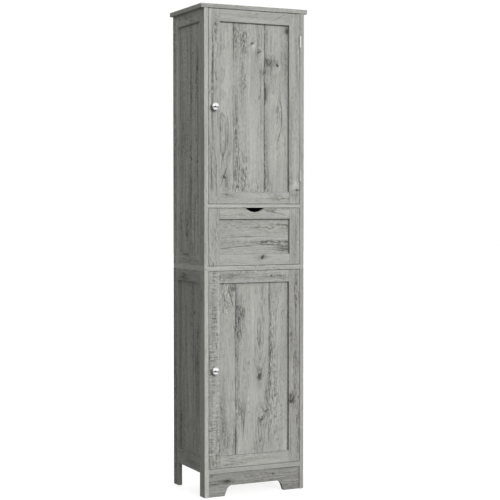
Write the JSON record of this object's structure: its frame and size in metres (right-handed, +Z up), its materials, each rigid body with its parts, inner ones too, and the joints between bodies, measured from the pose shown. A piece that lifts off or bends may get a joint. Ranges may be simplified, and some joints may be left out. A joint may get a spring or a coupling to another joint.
{
  "type": "tall bathroom cabinet",
  "caption": "Tall narrow storage cabinet on short legs: framed sides, an upper and a lower framed door with round knobs, and a drawer with a finger notch between them.",
  "frame": {"origin": "floor level, in the middle of the whole footprint with the knobs counted in", "axes": "+Z up, front faces -Y, +X to the right seen from the front"},
  "size_m": [0.409, 0.304, 1.7],
  "materials": {
    "grey_oak": "weathered grey oak foil, matt",
    "back_board": "thin grey hardboard, matt",
    "chrome": "polished chrome plate",
    "hinge_nickel": "bright nickel plate",
    "runner_enamel": "off-white baked enamel",
    "nylon": "white nylon",
    "catch_plastic": "grey moulded plastic",
    "plain_steel": "zinc-plated steel"
  },
  "bodies": {
    "root": {"bottom_board": "grey_oak", "cabinet_hinge_leaves": "hinge_nickel", "drawer_divider": "grey_oak", "front_apron": "grey_oak", "hinge_pins": "hinge_nickel", "lower_back_panel": "back_board", "lower_left_front_leg": "grey_oak", "lower_left_panel": "grey_oak", "lower_left_rails": "grey_oak", "lower_left_rear_leg": "grey_oak", "lower_right_front_leg": "grey_oak", "lower_right_panel": "grey_oak", "lower_right_rails": "grey_oak", "lower_right_rear_leg": "grey_oak", "lower_shelf": "grey_oak", "magnet_catches": "catch_plastic", "mid_board": "grey_oak", "runner_channels": "runner_enamel", "shelf_pins": "plain_steel", "top_board": "grey_oak", "upper_back_panel": "back_board", "upper_left_front_stile": "grey_oak", "upper_left_panel": "grey_oak", "upper_left_rails": "grey_oak", "upper_left_rear_stile": "grey_oak", "upper_right_front_stile": "grey_oak", "upper_right_panel": "grey_oak", "upper_right_rails": "grey_oak", "upper_right_rear_stile": "grey_oak", "upper_shelves": "grey_oak", "wall_bracket": "plain_steel"},
    "upper_door": {"upper_door_bottom_rail": "grey_oak", "upper_door_catch_plate": "plain_steel", "upper_door_hinge_leaves": "hinge_nickel", "upper_door_knob": "chrome", "upper_door_left_stile": "grey_oak", "upper_door_panel": "grey_oak", "upper_door_right_stile": "grey_oak", "upper_door_top_rail": "grey_oak"},
    "lower_door": {"lower_door_bottom_rail": "grey_oak", "lower_door_catch_plate": "plain_steel", "lower_door_hinge_leaves": "hinge_nickel", "lower_door_knob": "chrome", "lower_door_left_stile": "grey_oak", "lower_door_panel": "grey_oak", "lower_door_right_stile": "grey_oak", "lower_door_top_rail": "grey_oak"},
    "drawer": {"drawer_back": "grey_oak", "drawer_bottom": "back_board", "drawer_front_bottom_rail": "grey_oak", "drawer_front_left_stile": "grey_oak", "drawer_front_panel": "grey_oak", "drawer_front_right_stile": "grey_oak", "drawer_front_top_rail": "grey_oak", "drawer_left_side": "grey_oak", "drawer_right_side": "grey_oak", "drawer_runner_angles": "runner_enamel"},
    "front_rollers": {"front_rollers": "nylon"},
    "rear_rollers": {"rear_rollers": "nylon"}
  },
  "joints": [
    {"name": "upper_door_swing", "type": "hinge", "parent": "root", "child": "upper_door", "pos_m": [0.17625, -0.1313, 1.34975], "axis": [0, 0, 1], "range_deg": [0, 180]},
    {"name": "lower_door_swing", "type": "hinge", "parent": "root", "child": "lower_door", "pos_m": [0.17625, -0.1313, 0.4415], "axis": [0, 0, 1], "range_deg": [0, 180]},
    {"name": "drawer_slide", "type": "slide", "parent": "root", "child": "drawer", "axis": [0, -1, 0], "range_m": [0, 0.18]},
    {"name": "front_roller_spin", "type": "hinge", "parent": "root", "child": "front_rollers", "pos_m": [0, -0.1, 0.8261], "axis": [1, 0, 0], "range_deg": [0, 1150]},
    {"name": "rear_roller_spin", "type": "hinge", "parent": "drawer", "child": "rear_rollers", "pos_m": [0, 0.112, 0.8257], "axis": [1, 0, 0], "range_deg": [0, 1150]}
  ],
  "couplings": [
    {"joint": "front_roller_spin", "follows": "drawer_slide", "rad_per_m": 111.11},
    {"joint": "rear_roller_spin", "follows": "drawer_slide", "rad_per_m": 111.11}
  ]
}
